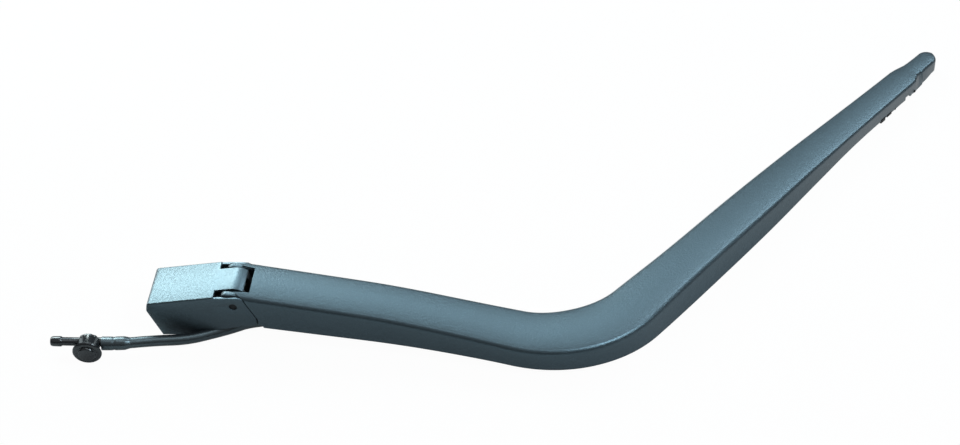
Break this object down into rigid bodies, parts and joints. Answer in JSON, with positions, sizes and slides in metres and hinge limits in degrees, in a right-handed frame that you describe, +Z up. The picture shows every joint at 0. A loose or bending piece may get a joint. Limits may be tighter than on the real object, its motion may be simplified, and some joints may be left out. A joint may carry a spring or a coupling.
{
  "type": "wiper arm",
  "caption": "Cranked windscreen wiper arm: pressed steel channel hinged to a capped mounting head, with a tension spring and a washer hose that ends in a check valve.",
  "frame": {"origin": "centre of the spindle bore's mouth, at the underside of the mounting head's boss", "axes": "+X from the head along the straight part of the arm towards the blade, +Z up from the table it lies on, +Y to the side the arm is cranked to"},
  "size_m": [0.5586, 0.3455, 0.0392],
  "materials": {
    "coated_steel": "fine-textured black powder coat",
    "cap_plastic": "fine-textured black",
    "cast_head": "die-cast, black coated",
    "steel": "zinc plated",
    "nylon": "natural nylon",
    "hose_rubber": "smooth black",
    "clip_plastic": "moulded black",
    "valve_plastic": "glossy moulded black"
  },
  "bodies": {
    "head": {"mounting_head": "cast_head", "bush_near": "nylon", "bush_far": "nylon", "hook_pin": "steel", "cover_cap": "cap_plastic", "hose_tail": "hose_rubber", "valve_body": "valve_plastic", "valve_cap": "valve_plastic", "valve_diaphragm": "hose_rubber", "valve_spring": "steel"},
    "arm": {"arm_channel": "coated_steel", "hinge_pin": "steel", "spring_anchor": "coated_steel", "hose_run": "hose_rubber", "hose_clip_1": "clip_plastic", "hose_clip_2": "clip_plastic", "hose_clip_3": "clip_plastic", "hose_clip_4": "clip_plastic", "hose_nipple": "clip_plastic", "tip_insert": "clip_plastic"},
    "hook": {"spring_hook": "steel", "tension_spring": "steel"}
  },
  "joints": [
    {"name": "arm_hinge", "type": "hinge", "parent": "head", "child": "arm", "pos_m": [0.02863, 0, 0.02157], "axis": [0, -1, 0], "range_deg": [0, 60], "stiffness_Nm_per_rad": 0.6, "springref_deg": -85.94},
    {"name": "hook_swing", "type": "hinge", "parent": "head", "child": "hook", "pos_m": [0.02036, 0, 0.01796], "axis": [0, -1, 0], "range_deg": [0, 56], "deforming": ["tension_spring"]}
  ],
  "couplings": [
    {"joint": "hook_swing", "follows": "arm_hinge", "ratio": 0.92735}
  ]
}
